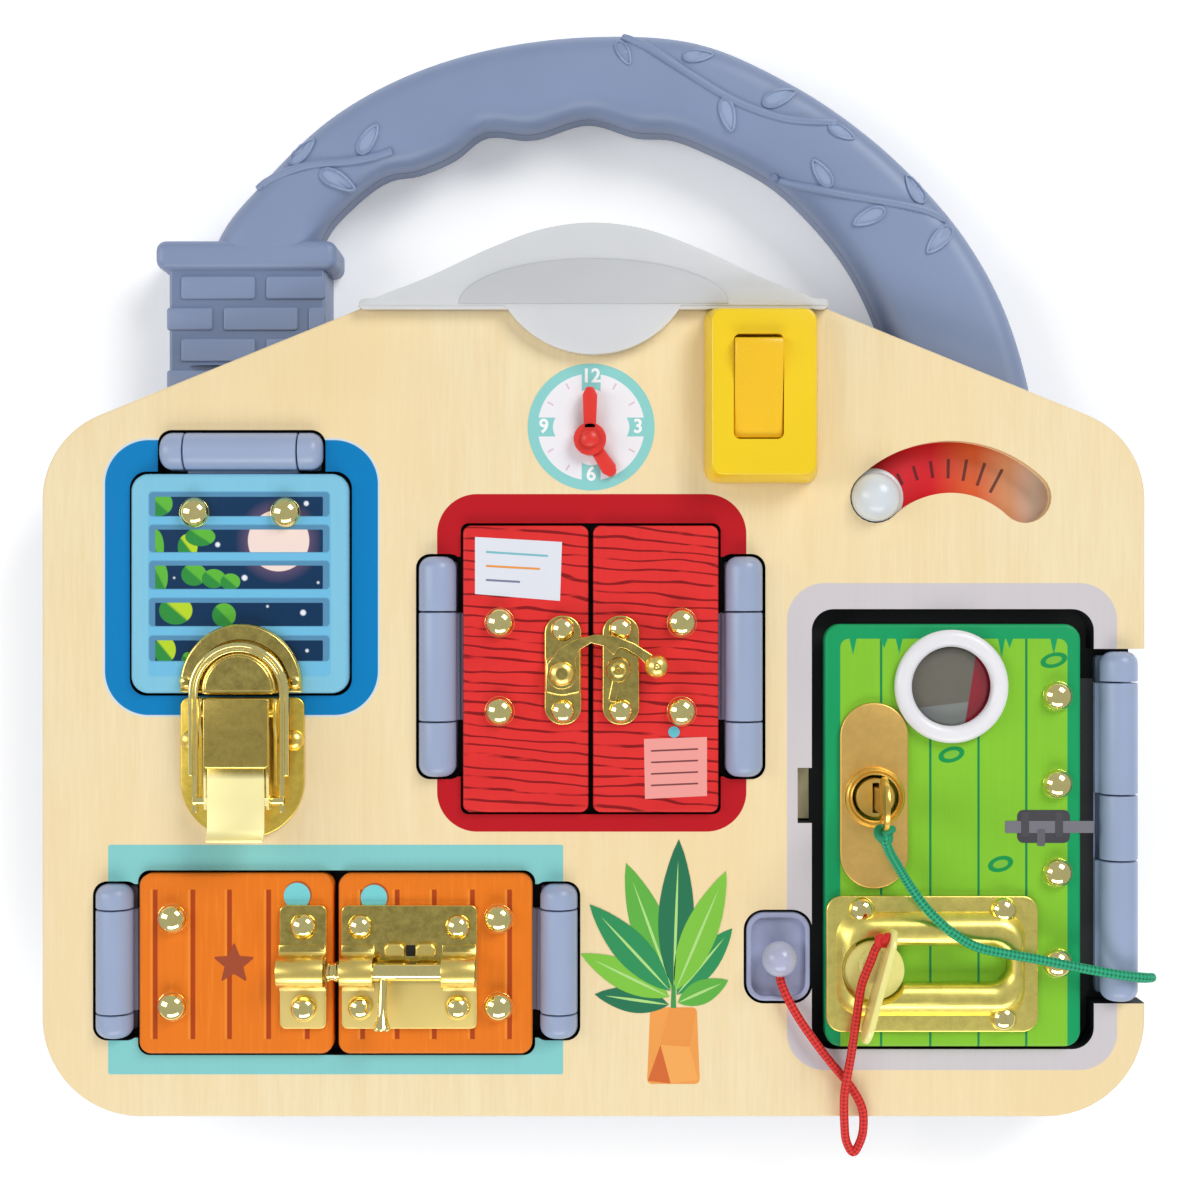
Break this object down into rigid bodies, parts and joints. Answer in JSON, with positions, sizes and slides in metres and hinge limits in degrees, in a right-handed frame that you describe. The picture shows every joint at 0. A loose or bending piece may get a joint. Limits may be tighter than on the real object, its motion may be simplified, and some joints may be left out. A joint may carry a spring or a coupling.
{
  "type": "latch board",
  "caption": "House-shaped wooden busy board with doors, latches, a lock, a clock, a slide, a rocker switch and a carry handle",
  "frame": {"origin": "Middle of the board's outline from its foot to the top of the handle, on the flat back of the housing. The cords aren't counted", "axes": "+X to the right of the house, +Y up the house to its handle, +Z out of the front board. The board lies on its back"},
  "size_m": [0.2836, 0.2868, 0.0562],
  "materials": {
    "birch": "clear-coated birch plywood with printed fields",
    "black": "black painted fibreboard",
    "grey_blue": "moulded, satin",
    "hinge": "moulded, satin gloss",
    "brass": "polished brass plating",
    "satin_brass": "satin brass plate",
    "red": "red painted panel",
    "orange": "orange painted panel",
    "blue": "light blue painted panel",
    "green": "green painted panel",
    "yellow": "moulded, gloss",
    "white": "moulded, gloss",
    "milky": "translucent milky moulding",
    "steel": "plated steel",
    "circuit": "circuit board",
    "cell": "printed metal sleeve",
    "hand_red": "red moulding",
    "cord_red": "woven red cord",
    "cord_green": "woven green cord"
  },
  "bodies": {
    "board": {"window_hinge_mount": "hinge", "left_shutter_hinge_mount": "hinge", "right_shutter_hinge_mount": "hinge", "left_cupboard_hinge_mount": "hinge", "right_cupboard_hinge_mount": "hinge", "entry_hinge_mount": "hinge", "latch_base": "brass", "clock_pin": "hand_red", "slide_strip": "milky", "switch_plate": "yellow", "switch_block": "black", "roof_lamp": "milky", "cord_anchor": "grey_blue", "anchor_cap": "milky", "housing_screw_1": "steel", "housing_screw_2": "steel", "front_board": "birch", "backing_board": "black", "rear_housing": "grey_blue", "handle_front": "grey_blue", "battery_door": "grey_blue", "battery_door_screw": "steel", "cell_1": "cell", "cell_2": "cell", "battery_contact": "steel", "lamp_board": "circuit", "red_cord": "cord_red", "green_cord": "cord_green"},
    "window_door": {"window_panel": "blue", "window_hinge_leaf": "hinge", "window_catch": "brass"},
    "lever": {"latch_lever": "brass"},
    "bail": {"latch_bail": "brass"},
    "left_shutter": {"left_shutter_panel": "red", "left_shutter_hinge_leaf": "hinge", "hook_plate": "brass"},
    "hook": {"hook_arm": "brass"},
    "right_shutter": {"right_shutter_panel": "red", "right_shutter_hinge_leaf": "hinge", "post_plate": "brass"},
    "left_cupboard": {"left_cupboard_panel": "orange", "left_cupboard_hinge_leaf": "hinge", "bolt_keeper": "brass"},
    "right_cupboard": {"right_cupboard_panel": "orange", "right_cupboard_hinge_leaf": "hinge", "bolt_guide": "brass"},
    "bolt": {"bolt_rod": "brass"},
    "entry_door": {"entry_panel": "green", "entry_hinge_leaf": "hinge", "porthole_ring": "white", "porthole_lens": "milky", "lock_plate": "satin_brass", "slot_plate": "brass"},
    "key_lock": {"lock_cylinder": "brass", "key": "brass"},
    "slot_slide": {"slot_slider": "yellow"},
    "hour": {"hour_hand": "hand_red"},
    "minute": {"minute_hand": "hand_red"},
    "slide": {"slide_knob": "white"},
    "switch": {"rocker": "yellow"}
  },
  "joints": [
    {"name": "latch_lever", "type": "hinge", "parent": "board", "child": "lever", "pos_m": [-0.0889, -0.0362, 0.0353], "axis": [-1, 0, 0], "range_deg": [0, 150]},
    {"name": "latch_bail", "type": "hinge", "parent": "lever", "child": "bail", "pos_m": [-0.0889, -0.0581, 0.0343], "axis": [-1, 0, 0], "range_deg": [-270, 0]},
    {"name": "window", "type": "hinge", "parent": "board", "child": "window_door", "pos_m": [-0.0893, 0.0299, 0.0275], "axis": [-1, 0, 0], "range_deg": [0, 90]},
    {"name": "left_shutter", "type": "hinge", "parent": "board", "child": "left_shutter", "pos_m": [-0.0396, -0.0247, 0.0275], "axis": [0, -1, 0], "range_deg": [0, 130]},
    {"name": "hook", "type": "hinge", "parent": "left_shutter", "child": "hook", "pos_m": [-0.0079, -0.0262, 0.0334], "axis": [0, 0, 1], "range_deg": [0, 110]},
    {"name": "right_shutter", "type": "hinge", "parent": "board", "child": "right_shutter", "pos_m": [0.0382, -0.0247, 0.0275], "axis": [0, 1, 0], "range_deg": [0, 130]},
    {"name": "left_cupboard", "type": "hinge", "parent": "board", "child": "left_cupboard", "pos_m": [-0.1216, -0.0994, 0.0275], "axis": [0, -1, 0], "range_deg": [0, 130]},
    {"name": "right_cupboard", "type": "hinge", "parent": "board", "child": "right_cupboard", "pos_m": [-0.0088, -0.0994, 0.0275], "axis": [0, 1, 0], "range_deg": [0, 130]},
    {"name": "bolt", "type": "slide", "parent": "right_cupboard", "child": "bolt", "axis": [1, 0, 0], "range_m": [-0.012, 0.001]},
    {"name": "entry_door", "type": "hinge", "parent": "board", "child": "entry_door", "pos_m": [0.1334, -0.0652, 0.0275], "axis": [0, 1, 0], "range_deg": [0, 100], "deforming": ["red_cord", "green_cord"]},
    {"name": "key_lock", "type": "hinge", "parent": "entry_door", "child": "key_lock", "pos_m": [0.0708, -0.0574, 0.03], "axis": [0, 0, -1], "range_deg": [0, 90]},
    {"name": "slot_slide", "type": "slide", "parent": "entry_door", "child": "slot_slide", "axis": [1, 0, 0], "range_m": [0, 0.027]},
    {"name": "hour_hand", "type": "hinge", "parent": "board", "child": "hour", "pos_m": [-0.0009, 0.0329, 0.029], "axis": [0, 0, -1], "continuous": true},
    {"name": "minute_hand", "type": "hinge", "parent": "board", "child": "minute", "pos_m": [-0.0009, 0.0329, 0.0306], "axis": [0, 0, -1], "continuous": true},
    {"name": "slide_knob", "type": "hinge", "parent": "board", "child": "slide", "pos_m": [0.0907, -0.0013, 0.028], "axis": [0, 0, 1], "range_deg": [-88, 0]},
    {"name": "rocker", "type": "hinge", "parent": "board", "child": "switch", "pos_m": [0.0412, 0.0454, 0.035], "axis": [1, 0, 0], "range_deg": [-18, 0]}
  ],
  "couplings": [
    {"joint": "latch_bail", "follows": "latch_lever", "ratio": -1.8},
    {"joint": "window", "follows": "latch_lever", "ratio": 0.6},
    {"joint": "right_shutter", "follows": "left_shutter", "ratio": 1}
  ]
}
